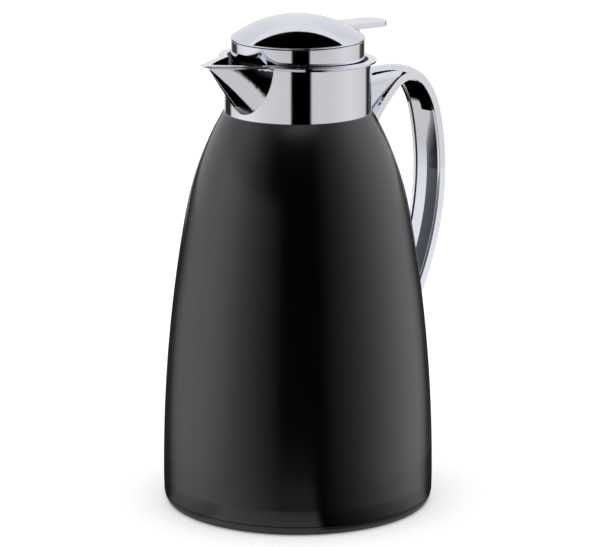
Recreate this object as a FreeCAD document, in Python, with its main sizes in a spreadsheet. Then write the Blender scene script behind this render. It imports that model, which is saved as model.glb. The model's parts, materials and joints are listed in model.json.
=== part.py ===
import FreeCAD, Part
import math
import os
import Sketcher

# Vacuum jug with a glass flask, a screw stopper and a sprung lid.
# Millimetres and degrees. The origin is the centre of the base on the table,
# +Z is up, the spout points to -X and the handle to +X.

SIZES = {
    # Painted body
    "body_radius": 70.0,
    "body_wall": 1.2,
    "body_foot_inset": 0.2,
    "body_seam_height": 5.2,
    "side_foot_height": 13.5,
    "side_curve_radius": 777.0,
    "shoulder_height": 151.5,
    "neck_height": 204.9,
    "neck_ledge": 0.65,
    "neck_hole_clearance": 0.4,
    # Base
    "base_seam_gap": 0.4,
    "base_bottom_inset": 1.9,
    "base_floor": 3.4,
    "base_skirt": 2.0,
    "base_skirt_depth": 7.0,
    "base_lift": 0.6,
    "base_edge_radius": 6.0,
    "foot_pad_inset": 1.8,
    "foot_pad_depth": 1.6,
    "base_ring_width": 8.0,
    "base_ring_height": 11.0,
    "base_screw_radius": 1.5,
    "base_screw_head_radius": 2.6,
    "base_screw_head_depth": 1.8,
    "base_screw_grip": 7.0,
    "base_screw_count": 3,
    # Glass flask
    "flask_gap": 5.2,
    "flask_corner_radius": 30.0,
    "flask_shoulder_drop": 33.5,
    "flask_neck_clearance": 1.2,
    "flask_neck_length": 17.0,
    "flask_lip_rise": 2.7,
    "glass_wall": 1.8,
    "vacuum_gap": 3.0,
    "seal_off_radius": 2.6,
    "seal_off_length": 4.0,
    "spacer_drop": 18.0,
    "spacer_length": 6.0,
    "spacer_span": 8.0,
    "spacer_count": 3,
    "spacer_clearance": 0.05,
    "cushion_height": 3.0,
    "cushion_inner_radius": 12.0,
    "cushion_outer_radius": 26.0,
    "cup_height": 8.0,
    "cup_wall": 3.0,
    "cup_lip": 2.0,
    "cup_hole_radius": 10.0,
    "lip_pocket_clearance": 0.4,
    "lip_seal_height": 2.0,
    # Collar with the spout
    "collar_radius": 37.5,
    "collar_wall": 1.6,
    "collar_floor": 2.0,
    "collar_height": 28.0,
    "rim_flare": 2.6,
    "rim_flare_height": 2.6,
    "rim_edge": 1.0,
    "rim_tilt": 2.6,
    "spigot_inset": 4.7,
    "spigot_wall": 2.0,
    "spigot_depth": 8.3,
    "nut_gap": 0.3,
    "nut_height": 5.0,
    "nut_clearance": 0.15,
    "spout_length": 25.5,
    "spout_overhang": 3.8,
    "spout_root_inset": 9.5,
    "spout_root_half_width": 20.6,
    "spout_root_depth": 37.6,
    "spout_waist_half_width": 7.9,
    "spout_waist_depth": 12.7,
    "spout_waist_length": 12.5,
    "spout_tip_half_width": 1.2,
    "spout_tip_depth": 2.3,
    "spout_setback": 2.4,
    # Threaded neck ring
    "neck_ring_wall": 3.0,
    "neck_ring_drop": 4.9,
    "neck_ring_flange": 2.0,
    "neck_ring_shoulder": 2.0,
    "neck_bore_wall": 6.0,
    "shoulder_bore_clearance": 0.3,
    "ring_clearance": 0.2,
    # Quarter turn thread
    "thread_lead": 16.0,
    "thread_turn": 90.0,
    "thread_lug_height": 3.0,
    "thread_lug_depth": 3.4,
    "thread_lug_span": 30.0,
    "thread_lug_rise": 7.0,
    "thread_clearance": 0.35,
    "thread_end_turn": 3.0,
    "thread_count": 3,
    # Stopper
    "plug_nose_clearance": 1.5,
    "plug_nose_length": 21.0,
    "plug_wall": 1.6,
    "plug_clearance": 0.7,
    "plug_skirt_clearance": 2.7,
    "plug_skirt_gap": 1.0,
    "plug_deck": 2.4,
    "plug_deck_rise": 0.2,
    "plug_ledge": 0.9,
    "plug_rim_wall": 1.3,
    "pour_bore_radius": 9.0,
    "valve_seat_rise": 1.7,
    "seal_height": 2.5,
    "seal_width": 2.4,
    "end_cap_height": 2.0,
    "end_cap_spigot": 2.5,
    "foam_clearance": 0.1,
    "band_gap": 1.9,
    "band_wall": 1.6,
    "band_clearance": 0.1,
    "band_height": 8.7,
    "band_inner_drop": 0.5,
    "notch_height": 3.9,
    "notch_half_width": 16.7,
    "notch_top_half_width": 8.0,
    # Lid and its hinge
    "lid_gap": 0.4,
    "dome_height": 12.2,
    "dome_edge": 0.6,
    "dome_mouth_clearance": 0.2,
    "dome_wall": 1.6,
    "lever_half_width": 8.0,
    "lever_length": 24.2,
    "lever_thickness": 3.1,
    "lever_tip_rise": 3.7,
    "lever_root_rise": 4.4,
    "lever_root_offset": 1.0,
    "lever_blend_inset": 12.0,
    "lever_blend_radius": 46.0,
    "lever_corner_radius": 6.5,
    "lever_edge_radius": 0.6,
    "hinge_offset": 2.5,
    "hinge_rise": 5.5,
    "hinge_eye_radius": 2.4,
    "hinge_pin_radius": 1.0,
    "hinge_pin_clearance": 0.05,
    "pin_press_clearance": 0.02,
    "knuckle_inside": 2.5,
    "knuckle_width": 2.0,
    "ear_gap": 0.25,
    "ear_width": 3.0,
    "slot_clearance": 0.4,
    "spring_wire_radius": 0.25,
    "spring_coil_radius": 1.75,
    "spring_pitch": 0.95,
    "spring_turns": 3,
    "spring_leg_clearance": 0.35,
    "lid_plate_clearance": 1.2,
    "lid_plate_floor": 1.8,
    "lid_plate_wall": 1.5,
    "lid_plate_height": 5.0,
    "lid_seal_overlap": 2.9,
    "lid_seal_height": 2.6,
    "lid_seal_clearance": 0.2,
    "lid_screw_offset": 20.0,
    "lid_screw_radius": 1.25,
    "lid_screw_head_radius": 2.4,
    "lid_screw_head_height": 1.4,
    "lid_screw_length": 7.0,
    "lid_boss_radius": 3.0,
    "screw_clearance": 0.1,
    # Handle
    "handle_gap": 26.5,
    "handle_top_rise": 12.6,
    "handle_drop": 83.8,
    "handle_half_width": 10.0,
    "handle_thickness": 4.1,
    "handle_crown": 2.4,
    "handle_lip": 1.8,
    "handle_strip_depth": 2.0,
    "handle_strip_ridge": 0.6,
    "handle_strip_clearance": 0.12,
    "handle_upper_radius": 127.0,
    "handle_upper_turn": 15.0,
    "handle_bend_radius": 41.2,
    "handle_bend_turn": 27.0,
    "handle_top_radius": 16.9,
    "handle_top_turn": 86.6,
    "handle_root_radius": 80.8,
    "handle_root_turn": 20.0,
    "handle_lower_radius": 127.4,
    "handle_lower_turn": 12.7,
    "handle_overrun": 15.0,
    "handle_fit": 0.1,
    "hood_overlap": 8.0,
    "hood_lean": 7.0,
    "hood_root_inset": 1.5,
    "hood_root_half_width": 8.8,
    "hood_root_rise": 14.8,
    "hood_root_arch": 7.8,
    "hood_root_depth": 24.6,
    "hood_back_offset": 8.5,
    "hood_back_half_width": 9.0,
    "hood_back_rise": 15.4,
    "hood_back_arch": 7.2,
    "hood_back_depth": 21.6,
    "hood_middle_half_width": 9.2,
    "hood_middle_rise": 16.1,
    "hood_middle_arch": 6.0,
    "hood_middle_depth": 11.7,
    "hood_front_inset": 4.4,
    "hood_front_half_width": 9.3,
    "hood_front_rise": 16.0,
    "hood_front_arch": 4.2,
    "hood_front_depth": 5.2,
    "hood_nose_overhang": 3.6,
    "hood_nose_half_width": 9.3,
    "hood_nose_rise": 14.4,
    "hood_nose_arch": 2.6,
    "hood_nose_depth": 3.6,
    "upper_screw_offset": 4.6,
    "upper_screw_rise": 7.6,
    "upper_screw_radius": 1.5,
    "upper_screw_head_radius": 2.7,
    "upper_screw_head_height": 1.8,
    "upper_screw_grip": 10.0,
    "lower_screw_depth": 7.8,
    "lower_screw_radius": 1.4,
    "lower_screw_head_radius": 3.0,
    "lower_screw_head_height": 2.0,
    "lower_screw_length": 14.0,
    "washer_radius": 4.5,
}

doc = FreeCAD.newDocument("vacuum_jug")
sheet = doc.addObject("Spreadsheet::Sheet", "Sizes")
for row, (alias, number) in enumerate(SIZES.items(), start=1):
    sheet.set("A%d" % row, alias)
    sheet.set("B%d" % row, str(number))
    sheet.setAlias("B%d" % row, alias)
doc.recompute()


class Size:
    """A length or an angle: its number, and the same value as an expression on the sheet."""

    def __init__(self, number, text):
        self.number = number
        self.text = text

    def __add__(self, other):
        other = as_size(other)
        return Size(self.number + other.number, "(%s + %s)" % (self.text, other.text))

    def __sub__(self, other):
        other = as_size(other)
        return Size(self.number - other.number, "(%s - %s)" % (self.text, other.text))

    def __mul__(self, other):
        other = as_size(other)
        return Size(self.number * other.number, "%s * %s" % (self.text, other.text))

    def __truediv__(self, other):
        other = as_size(other)
        return Size(self.number / other.number, "%s / (%s)" % (self.text, other.text))

    def __neg__(self):
        return Size(-self.number, "(0 - %s)" % self.text)


def as_size(value):
    return value if isinstance(value, Size) else Size(float(value), repr(float(value)))


def root(size):
    return Size(math.sqrt(size.number), "sqrt(%s)" % size.text)


def cosine(angle):
    return Size(math.cos(math.radians(angle.number)), "cos(%s)" % angle.text)


def sine(angle):
    return Size(math.sin(math.radians(angle.number)), "sin(%s)" % angle.text)


def arcsine(ratio):
    return Size(math.degrees(math.asin(ratio.number)), "asin(%s)" % ratio.text)


def tangent(angle):
    return Size(math.tan(math.radians(angle.number)), "tan(%s)" % angle.text)


def leg(hypotenuse, side):
    """The other short side of a right triangle."""
    return root(hypotenuse * hypotenuse - side * side)


class Sheet:
    """Every alias of the sheet as a Size."""

    def __getattr__(self, alias):
        return Size(float(sheet.get(alias)), "Sizes." + alias)


s = Sheet()
nodes = []


def origin_plane(body, role):
    return [item for item in body.Origin.OriginFeatures if item.Role == role][0]


def new_body(label):
    return doc.addObject("PartDesign::Body", label)


def arc_between(start, end, radius):
    """An arc of less than half a circle; its centre is on the left of start to end if radius is positive."""
    chord = end - start
    middle = (start + end) * 0.5
    rise = math.sqrt(max(radius ** 2 - (chord.Length / 2) ** 2, 0.0))
    left = FreeCAD.Vector(-chord.y, chord.x, 0).normalize()
    centre = middle + left * math.copysign(rise, radius)
    first, last = (start, end) if radius > 0 else (end, start)
    circle = Part.Circle(centre, FreeCAD.Vector(0, 0, 1), abs(radius))
    return Part.ArcOfCircle(
        circle,
        math.atan2(first.y - centre.y, first.x - centre.x),
        math.atan2(last.y - centre.y, last.x - centre.x),
    )


def place_point(sketch, geometry, point, x, y):
    """Fix a sketch point at sheet sizes, on an axis where the size is zero."""
    for axis, kind, size in ((-2, "DistanceX", x), (-1, "DistanceY", y)):
        size = as_size(size)
        if size.text == "0.0":
            sketch.addConstraint(Sketcher.Constraint("PointOnObject", geometry, point, axis))
        else:
            index = sketch.addConstraint(
                Sketcher.Constraint(kind, -1, 1, geometry, point, size.number)
            )
            sketch.setExpression("Constraints[%d]" % index, size.text)


def new_sketch(body, name, plane, shift=None):
    sketch = body.newObject("Sketcher::SketchObject", name)
    sketch.AttachmentSupport = (origin_plane(body, plane), [""])
    sketch.MapMode = "FlatFace"
    if shift is not None:
        sketch.setExpression("AttachmentOffset.Base.z", shift.text)
    return sketch


def draw(body, name, corners, plane="XZ_Plane", shift=None, closed=True):
    """Lines and arcs through the corners; a third entry is the radius of the arc that leaves a corner."""
    sketch = new_sketch(body, name, plane, shift)
    count = len(corners) if closed else len(corners) - 1
    points = [FreeCAD.Vector(as_size(c[0]).number, as_size(c[1]).number, 0) for c in corners]
    ends = []
    for index in range(count):
        start, end = points[index], points[(index + 1) % len(points)]
        if len(corners[index]) == 2:
            sketch.addGeometry(Part.LineSegment(start, end))
            ends.append((1, 2))
        else:
            radius = corners[index][2]
            sketch.addGeometry(arc_between(start, end, radius.number))
            ends.append((1, 2) if radius.number > 0 else (2, 1))
    for index in range(count):
        following = (index + 1) % count
        if closed or following:
            sketch.addConstraint(
                Sketcher.Constraint("Coincident", index, ends[index][1], following, ends[following][0])
            )
        place_point(sketch, index, ends[index][0], corners[index][0], corners[index][1])
        if len(corners[index]) == 3:
            radius = corners[index][2]
            bend = sketch.addConstraint(Sketcher.Constraint("Radius", index, abs(radius.number)))
            sketch.setExpression("Constraints[%d]" % bend, "abs(%s)" % radius.text)
    if not closed:
        place_point(sketch, count - 1, ends[-1][1], corners[-1][0], corners[-1][1])
    return sketch


def draw_circle(body, name, plane, x, y, radius, shift=None):
    sketch = new_sketch(body, name, plane, shift)
    centre = FreeCAD.Vector(as_size(x).number, as_size(y).number, 0)
    sketch.addGeometry(Part.Circle(centre, FreeCAD.Vector(0, 0, 1), radius.number))
    place_point(sketch, 0, 3, x, y)
    bend = sketch.addConstraint(Sketcher.Constraint("Radius", 0, radius.number))
    sketch.setExpression("Constraints[%d]" % bend, radius.text)
    return sketch


def revolve(body, name, corners, kind="PartDesign::Revolution", angle=None):
    sketch = draw(body, name + "_outline", corners)
    feature = body.newObject(kind, name)
    feature.Profile = sketch
    feature.ReferenceAxis = (sketch, ["V_Axis"])
    feature.Angle = full_turn.number
    if angle is not None:
        feature.setExpression("Angle", angle.text)
    return feature


def turned(label, corners):
    """A body that is one turned profile about the jug's axis."""
    body = new_body(label)
    revolve(body, label + "_turning", corners)
    return body


def extrude(body, name, sketch, length, kind="PartDesign::Pad", side="One side", back=False):
    feature = body.newObject(kind, name)
    feature.Profile = sketch
    feature.SideType = side
    feature.Reversed = back
    feature.setExpression("Length", length.text)
    return feature


def polar(body, name, original, count):
    sketch = original.Profile[0]
    pattern = body.newObject("PartDesign::PolarPattern", name)
    pattern.Originals = [original]
    pattern.Axis = (sketch, ["V_Axis"])
    pattern.Angle = full_turn.number
    pattern.setExpression("Occurrences", count.text)
    body.Tip = pattern
    return pattern


def mirrored(body, name, originals):
    mirror = body.newObject("PartDesign::Mirrored", name)
    mirror.Originals = originals
    mirror.MirrorPlane = (origin_plane(body, "XZ_Plane"), [""])
    body.Tip = mirror
    return mirror


def boolean(kind, label, base, tool):
    feature = doc.addObject(kind, label)
    feature.Base = base
    feature.Tool = tool
    return feature


def rod(label, radius, length, x, y, z, turn):
    """A cylinder that starts at a point; its axis is turned from +Z towards +X by an angle."""
    cylinder = doc.addObject("Part::Cylinder", label)
    cylinder.setExpression("Radius", radius.text)
    cylinder.setExpression("Height", length.text)
    cylinder.Placement.Rotation = FreeCAD.Rotation(FreeCAD.Vector(0, 1, 0), 1)
    cylinder.setExpression("Placement.Rotation.Angle", turn.text)
    for axis, size in (("x", x), ("y", y), ("z", z)):
        cylinder.setExpression("Placement.Base." + axis, as_size(size).text)
    return cylinder


def screw(label, place, turn, radius, length, head_radius, head_height):
    """A screw whose head seats at the place and whose shank runs along the turned axis."""
    x, y, z = place
    shank = rod(label + "_shank", radius, length, x, y, z, turn)
    head_x = x - head_height * sine(turn)
    head_z = z - head_height * cosine(turn)
    head = rod(label + "_head", head_radius, head_height, head_x, y, head_z, turn)
    return boolean("Part::Fuse", label, shank, head)


def fused(label, shapes):
    union = doc.addObject("Part::MultiFuse", label)
    union.Shapes = shapes
    return union


def backward(curve):
    """The same run of corners and arcs from its end to its start."""
    run = []
    for index in range(len(curve) - 1, -1, -1):
        corner = curve[index][:2]
        if index and len(curve[index - 1]) == 3:
            corner += (-curve[index - 1][2],)
        run.append(corner)
    return run


def sagitta_radius(half_chord, rise):
    return (half_chord * half_chord + rise * rise) / (rise * 2)


upright = as_size(0)
level = as_size(90)
full_turn = as_size(360)

# Radii that several pieces share, from the collar inwards

collar_inner = s.collar_radius - s.collar_wall
spigot_radius = s.collar_radius - s.spigot_inset
spigot_inner = spigot_radius - s.spigot_wall
flask_neck_radius = spigot_inner - s.flask_neck_clearance
inner_wall_inset = s.glass_wall + s.vacuum_gap
inner_face_inset = inner_wall_inset + s.glass_wall
mouth_radius = flask_neck_radius - inner_face_inset
pocket_radius = flask_neck_radius + s.lip_pocket_clearance
neck_ring_radius = pocket_radius + s.neck_ring_wall
neck_bore_radius = neck_ring_radius - s.neck_bore_wall
plug_barrel_radius = neck_bore_radius - s.plug_clearance
plug_nose_radius = mouth_radius - s.plug_nose_clearance
band_radius = collar_inner - s.band_gap
hinge_reach = band_radius + s.hinge_offset

# Levels that several pieces share, from the neck upwards

collar_floor_top = s.neck_height + s.collar_floor
rim_height = s.neck_height + s.collar_height
flask_lip_height = s.neck_height + s.flask_lip_rise
lip_seal_top = flask_lip_height + s.lip_seal_height
seat_top = lip_seal_top + s.neck_ring_shoulder
neck_ring_top = rim_height - s.neck_ring_drop
plug_nose_bottom = seat_top - s.plug_nose_length
thread_lug_base = seat_top + s.thread_lug_rise
deck_top = rim_height + s.plug_deck_rise
valve_seat_height = deck_top + s.valve_seat_rise
band_top = deck_top + s.band_height
hinge_height = deck_top + s.hinge_rise
dome_base = band_top + s.lid_gap

# Painted body: a rounded foot, a long leaning side and a tighter shoulder, all tangent

body_seam_radius = s.body_radius - s.body_foot_inset
foot_drop = s.side_foot_height - s.body_seam_height
foot_round = sagitta_radius(foot_drop, s.body_foot_inset)
lean_sine = (s.shoulder_height - s.side_foot_height) / s.side_curve_radius
lean_cosine = root(as_size(1) - lean_sine * lean_sine)
neck_radius = s.collar_radius + s.neck_ledge
shoulder_run = s.body_radius - s.side_curve_radius * (as_size(1) - lean_cosine) - neck_radius
shoulder_climb = s.neck_height - s.shoulder_height
shoulder_square = shoulder_run * shoulder_run + shoulder_climb * shoulder_climb
shoulder_curve_radius = shoulder_square / ((shoulder_run * lean_cosine - shoulder_climb * lean_sine) * 2)
shoulder_side = shoulder_curve_radius / root(shoulder_curve_radius * shoulder_curve_radius)
curve_step = s.side_curve_radius - shoulder_curve_radius
shoulder_centre_radius = s.body_radius - s.side_curve_radius + curve_step * lean_cosine
shoulder_centre_height = s.side_foot_height + curve_step * lean_sine


def shoulder_radius(offset, height):
    """The shoulder's radius at a height, moved outwards by an offset."""
    curve = shoulder_curve_radius + offset
    return shoulder_centre_radius + shoulder_side * leg(curve, height - shoulder_centre_height)


def body_curve(offset, top):
    """The body's outline from its seam to a height near the neck, moved outwards by an offset."""
    side_curve = s.side_curve_radius + offset
    seam_radius = s.body_radius - foot_round + leg(foot_round + offset, foot_drop)
    joint_radius = s.body_radius - s.side_curve_radius + side_curve * lean_cosine
    joint_height = s.side_foot_height + side_curve * lean_sine
    return [
        (seam_radius, s.body_seam_height, foot_round + offset),
        (s.body_radius + offset, s.side_foot_height, side_curve),
        (joint_radius, joint_height, shoulder_curve_radius + offset),
        (shoulder_radius(offset, top), top),
    ]


def body_side_radius(height):
    return s.body_radius - s.side_curve_radius + leg(s.side_curve_radius, height - s.side_foot_height)


neck_hole_radius = spigot_radius + s.neck_hole_clearance
neck_underside = s.neck_height - s.body_wall
body_inner_curve = body_curve(-s.body_wall, neck_underside)
body_turning = turned(
    "body_turning",
    body_curve(as_size(0), s.neck_height)
    + [(neck_hole_radius, s.neck_height), (neck_hole_radius, neck_underside)]
    + backward(body_inner_curve),
)

# Base cap, its foot pad, the ring that carries it and three screws

cap_top = s.body_seam_height - s.base_seam_gap
floor_top = s.foot_pad_depth + s.base_floor
skirt_radius = body_inner_curve[0][0] - s.ring_clearance
skirt_top = cap_top + s.base_skirt_depth
base_bottom_radius = body_seam_radius - s.base_bottom_inset
foot_pad_radius = base_bottom_radius - s.foot_pad_inset
pad_recess_radius = foot_pad_radius + s.ring_clearance
cap_turning = turned(
    "base_cap_turning",
    [
        (0, s.foot_pad_depth),
        (pad_recess_radius, s.foot_pad_depth),
        (pad_recess_radius, s.base_lift),
        (base_bottom_radius, s.base_lift, s.base_edge_radius),
        (body_seam_radius - s.ring_clearance, cap_top),
        (skirt_radius, cap_top),
        (skirt_radius, skirt_top),
        (skirt_radius - s.base_skirt, skirt_top),
        (skirt_radius - s.base_skirt, floor_top),
        (0, floor_top),
    ],
)
nodes.append(
    turned(
        "foot_pad",
        [(0, 0), (foot_pad_radius, 0), (foot_pad_radius, s.foot_pad_depth), (0, s.foot_pad_depth)],
    )
)
ring_outer = skirt_radius - s.base_skirt - s.ring_clearance
ring_inner = ring_outer - s.base_ring_width
ring_top = floor_top + s.base_ring_height
ring_step = skirt_top + s.ring_clearance
ring_flange = s.body_radius - s.body_wall - s.ring_clearance
base_ring_turning = turned(
    "base_ring_turning",
    [
        (ring_inner, floor_top),
        (ring_outer, floor_top),
        (ring_outer, ring_step),
        (ring_flange, ring_step),
        (ring_flange, ring_top),
        (ring_inner, ring_top),
    ],
)
head_seat = s.foot_pad_depth + s.base_screw_head_depth
screw_circle = ring_outer - s.base_ring_width * 0.5
cap_holes = []
ring_holes = []
for index in range(int(s.base_screw_count.number)):
    around = full_turn / s.base_screw_count * index
    x = screw_circle * cosine(around)
    y = screw_circle * sine(around)
    name = "base_screw_%d" % (index + 1)
    length = floor_top - head_seat + s.base_screw_grip
    nodes.append(
        screw(
            name, (x, y, head_seat), upright, s.base_screw_radius, length,
            s.base_screw_head_radius, s.base_screw_head_depth,
        )
    )
    hole_radius = s.base_screw_radius + s.screw_clearance
    head_hole = s.base_screw_head_radius + s.screw_clearance
    cap_holes.append(rod(name + "_sink", head_hole, s.base_screw_head_depth, x, y, s.foot_pad_depth, upright))
    cap_holes.append(rod(name + "_way", hole_radius, s.base_floor, x, y, s.foot_pad_depth, upright))
    ring_holes.append(rod(name + "_bite", hole_radius, s.base_ring_height, x, y, floor_top, upright))
nodes.append(boolean("Part::Cut", "base_cap", cap_turning, fused("base_cap_holes", cap_holes)))
nodes.append(boolean("Part::Cut", "base_ring", base_ring_turning, fused("base_ring_holes", ring_holes)))

# Double walled glass flask on a cushion


def flask_curve(inset, top):
    """A flask wall's outline from the floor's centre to the neck, moved inwards by an inset."""
    shoulder = flask_shoulder_radius - inset
    return [
        (0, flask_floor + inset),
        (flask_radius - s.flask_corner_radius, flask_floor + inset, s.flask_corner_radius - inset),
        (flask_radius - inset, flask_floor + s.flask_corner_radius),
        (flask_radius - inset, flask_side_top, shoulder),
        (flask_neck_radius - inset, flask_side_top + leg(shoulder, shoulder - flask_narrowing)),
        (flask_neck_radius - inset, top),
    ]


cushion_base = floor_top + s.cup_height
flask_floor = cushion_base + s.cushion_height
flask_side_top = s.shoulder_height - s.flask_shoulder_drop
flask_radius = body_side_radius(flask_side_top) - s.body_wall - s.flask_gap
flask_narrowing = flask_radius - flask_neck_radius
flask_neck_base = flask_lip_height - s.flask_neck_length
flask_shoulder_radius = sagitta_radius(flask_neck_base - flask_side_top, flask_narrowing)
lip_base = flask_lip_height - s.glass_wall
seal_off = [(0, flask_floor - s.seal_off_length), (s.seal_off_radius, flask_floor)]
nodes.append(
    turned(
        "flask_outer_wall",
        seal_off + flask_curve(as_size(0), lip_base)[1:] + backward(flask_curve(s.glass_wall, lip_base)),
    )
)
nodes.append(
    turned(
        "flask_inner_wall",
        flask_curve(inner_wall_inset, lip_base)
        + [(flask_neck_radius, lip_base), (flask_neck_radius, flask_lip_height)]
        + backward(flask_curve(inner_face_inset, flask_lip_height)),
    )
)
spacer_inner = flask_radius - inner_wall_inset + s.spacer_clearance
spacer_outer = flask_radius - s.glass_wall - s.spacer_clearance
spacer_base = flask_side_top - s.spacer_drop
spacer_top = spacer_base + s.spacer_length
for index in range(int(s.spacer_count.number)):
    name = "flask_spacer_%d" % (index + 1)
    body = new_body(name)
    revolve(
        body,
        name + "_turning",
        [
            (spacer_inner, spacer_base),
            (spacer_outer, spacer_base),
            (spacer_outer, spacer_top),
            (spacer_inner, spacer_top),
        ],
        angle=s.spacer_span,
    )
    around = full_turn.number * index / s.spacer_count.number
    body.Placement.Rotation = FreeCAD.Rotation(FreeCAD.Vector(0, 0, 1), around)
    nodes.append(body)
nodes.append(
    turned(
        "flask_cushion",
        [
            (s.cushion_inner_radius, cushion_base),
            (s.cushion_outer_radius, cushion_base),
            (s.cushion_outer_radius, flask_floor),
            (s.cushion_inner_radius, flask_floor),
        ],
    )
)
cup_inner = s.cushion_outer_radius + s.ring_clearance
cup_outer = cup_inner + s.cup_wall
nodes.append(
    turned(
        "support_cup",
        [
            (s.cup_hole_radius, floor_top),
            (cup_outer, floor_top),
            (cup_outer, cushion_base + s.cup_lip),
            (cup_inner, cushion_base + s.cup_lip),
            (cup_inner, cushion_base),
            (s.cup_hole_radius, cushion_base),
        ],
    )
)
nodes.append(
    turned(
        "lip_seal",
        [
            (mouth_radius + s.ring_clearance, flask_lip_height),
            (flask_neck_radius, flask_lip_height),
            (flask_neck_radius, lip_seal_top),
            (mouth_radius + s.ring_clearance, lip_seal_top),
        ],
    )
)

# Collar: a turned neck with a spout lofted through ellipses, cut off by one tilted plane with a lip round it

spigot_bottom = s.neck_height - s.spigot_depth
spout_root_reach = s.collar_radius - s.spout_root_inset
spout_reach = s.collar_radius + s.spout_length


def rim_level(reach):
    """The rim's height at a distance from the axis towards the spout."""
    return rim_height + reach * tangent(s.rim_tilt)


collar_blank_top = rim_level(spout_reach)
collar_turning = turned(
    "collar_turning",
    [
        (spigot_inner, spigot_bottom),
        (spigot_radius, spigot_bottom),
        (spigot_radius, s.neck_height),
        (s.collar_radius, s.neck_height),
        (s.collar_radius, collar_blank_top),
        (collar_inner, collar_blank_top),
        (collar_inner, collar_floor_top),
        (spigot_inner, collar_floor_top),
    ],
)
lip_root = s.collar_radius - s.collar_wall * 0.5
spout_lip_root = s.collar_radius - s.collar_wall * 0.3
rim_outer = s.collar_radius + s.rim_flare
collar_lip = turned(
    "collar_lip",
    [
        (lip_root, -s.rim_flare_height),
        (rim_outer, -s.rim_edge),
        (rim_outer, s.rim_edge),
        (lip_root, s.rim_edge),
    ],
)
collar_lip.Placement.Rotation = FreeCAD.Rotation(FreeCAD.Vector(0, 1, 0), 1)
collar_lip.setExpression("Placement.Rotation.Angle", s.rim_tilt.text)
collar_lip.setExpression("Placement.Base.z", rim_height.text)


deep_ellipse = FreeCAD.Rotation(FreeCAD.Vector(0, 1, 0), -90)
wide_ellipse = FreeCAD.Rotation(FreeCAD.Vector(1, 1, 1), 120)


def ellipse(label, x, z, long_radius, short_radius, turn):
    """An ellipse square to X whose long radius is upright or level, as it is turned."""
    curve = doc.addObject("Part::Ellipse", label)
    curve.setExpression("MajorRadius", long_radius.text)
    curve.setExpression("MinorRadius", short_radius.text)
    curve.Placement.Rotation = turn
    curve.setExpression("Placement.Base.x", x.text)
    curve.setExpression("Placement.Base.z", z.text)
    return curve


def spout_loft(label, stations, turn, setback):
    """A loft through ellipses on the rim's plane, each at a reach with its long and its short radius."""
    loft = doc.addObject("Part::Loft", label)
    loft.Sections = [
        ellipse("%s_section_%d" % (label, number), setback - reach, rim_level(reach), *radii, turn)
        for number, (reach, *radii) in enumerate(stations, start=1)
    ]
    loft.Solid = True
    return loft


def core(label, radius, base, height):
    """An upright cylinder on the jug's axis."""
    return rod(label, radius, height, 0, 0, base, upright)


core_height = rim_height * 0.5
spout_waist_reach = s.collar_radius + s.spout_waist_length
spout_stations = (
    (spout_root_reach, s.spout_root_depth, s.spout_root_half_width),
    (spout_waist_reach, s.spout_waist_depth, s.spout_waist_half_width),
    (spout_reach - s.spout_overhang, s.spout_tip_depth, s.spout_tip_half_width),
)
lip_stations = (
    (spout_root_reach, s.spout_root_half_width + s.rim_flare, s.rim_flare_height),
    (spout_waist_reach, s.spout_waist_half_width + s.rim_flare, s.rim_flare_height),
    (spout_reach, s.spout_tip_half_width + s.rim_edge, s.rim_edge),
)
spout_shell = boolean(
    "Part::Cut",
    "spout_shell",
    spout_loft("spout_outside", spout_stations, deep_ellipse, as_size(0)),
    core("spout_core", lip_root, core_height, rim_height),
)
spout_lip = boolean(
    "Part::Cut",
    "spout_lip",
    spout_loft("spout_lip_solid", lip_stations, wide_ellipse, as_size(0)),
    core("spout_lip_core", spout_lip_root, core_height, rim_height),
)
spout_hollow = boolean(
    "Part::Cut",
    "spout_hollow",
    spout_loft("spout_inside", spout_stations, deep_ellipse, s.spout_setback),
    core("spout_hollow_core", collar_inner, core_height, rim_height),
)
rim_cutter = rod("rim_cutter", spout_reach * 2, s.spout_root_depth * 2, 0, 0, rim_height, s.rim_tilt)
collar_blank = fused("collar_blank", [collar_turning, collar_lip, spout_shell, spout_lip])
collar_solid = boolean("Part::Cut", "collar_solid", collar_blank, rim_cutter)
nut_inner = spigot_radius + s.nut_clearance
nut_outer = shoulder_radius(-s.body_wall, neck_underside) - s.nut_gap
nut_bottom = neck_underside - s.nut_height
nodes.append(
    turned(
        "collar_nut",
        [
            (nut_inner, nut_bottom),
            (nut_outer, nut_bottom),
            (nut_outer, neck_underside),
            (nut_inner, neck_underside),
        ],
    )
)

# Handle: a crowned strap swept along tangent arcs, a hood at its root and a strip that closes its inside


def arc_chain(x, z, bends):
    """Tangent arcs that leave a point straight up and bend towards the jug."""
    corners = []
    heading = level
    for radius, turn in bends:
        corners.append((x, z, radius))
        after = heading + turn
        x = x + radius * (sine(after) - sine(heading))
        z = z + radius * (cosine(heading) - cosine(after))
        heading = after
    return corners + [(x, z)]


# The strap's outermost point stands clear of the body, as high as the bends above it need to pass over the neck

side_bends = [
    (s.handle_upper_radius, s.handle_upper_turn),
    (s.handle_bend_radius, s.handle_bend_turn),
]
top_bends = [
    (s.handle_top_radius, s.handle_top_turn),
    (s.handle_root_radius, s.handle_root_turn),
]
bend_heading = level + s.handle_upper_turn + s.handle_bend_turn
bend_end = arc_chain(as_size(0), as_size(0), side_bends)[-1]
handle_reach = s.body_radius + s.handle_gap
handle_top_reach = handle_reach + bend_end[0] - s.handle_top_radius * sine(bend_heading)
handle_height = (
    s.neck_height + s.handle_top_rise - bend_end[1] - s.handle_top_radius * (cosine(bend_heading) + 1)
)
upper_path = arc_chain(handle_reach, handle_height, side_bends + top_bends)

# Its foot is one arc that meets the body's side and runs on inside

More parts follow.
